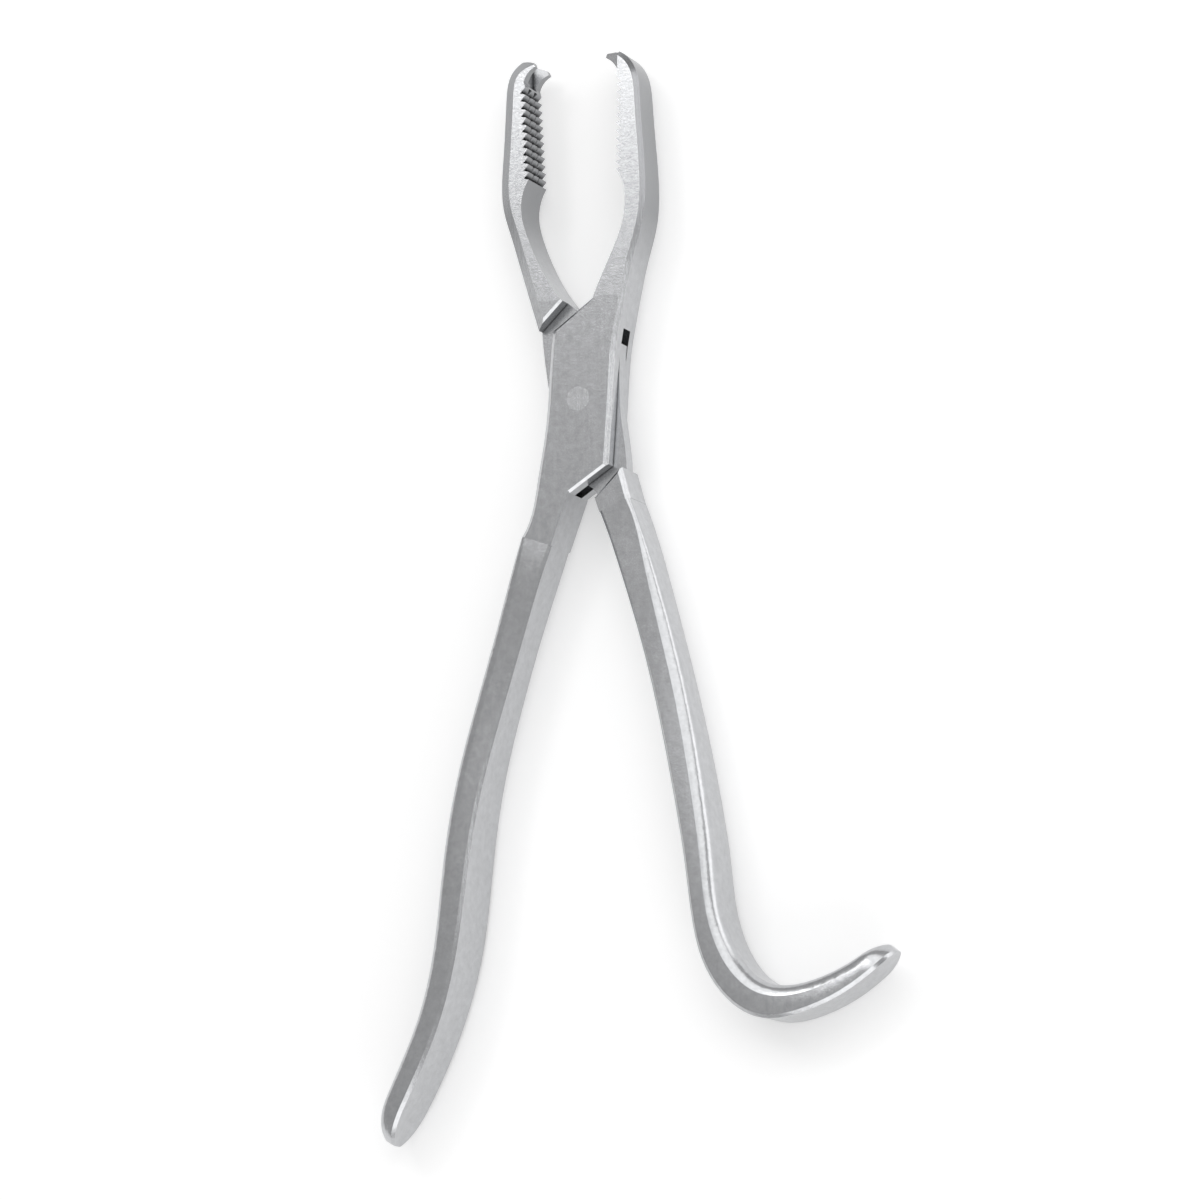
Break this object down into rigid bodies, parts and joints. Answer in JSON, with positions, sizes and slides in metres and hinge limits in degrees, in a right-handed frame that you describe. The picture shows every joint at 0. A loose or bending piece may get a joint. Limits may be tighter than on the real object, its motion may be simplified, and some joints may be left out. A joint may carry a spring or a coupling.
{
  "type": "bone holding forceps",
  "caption": "Bone holding forceps with a box joint, clawed and toothed jaws, one curved handle and one handle ending in a finger hook, satin steel.",
  "frame": {"origin": "pivot axis where it meets the flat back of the box joint", "axes": "+Y from the handles towards the jaws, +X to the side of the hooked handle, +Z out of the front of the box, along the pivot axis"},
  "size_m": [0.1038, 0.2081, 0.0128],
  "materials": {
    "arm_steel": "satin, fine brushed",
    "rivet_steel": "satin, ground flush"
  },
  "bodies": {
    "box_arm": {"box_arm": "arm_steel", "pivot_rivet": "rivet_steel"},
    "tongue_arm": {"tongue_arm": "arm_steel"}
  },
  "joints": [
    {"name": "jaw_pivot", "type": "hinge", "parent": "box_arm", "child": "tongue_arm", "pos_m": [0, 0, 0.0045], "axis": [0, 0, -1], "range_deg": [-20, 13]}
  ]
}
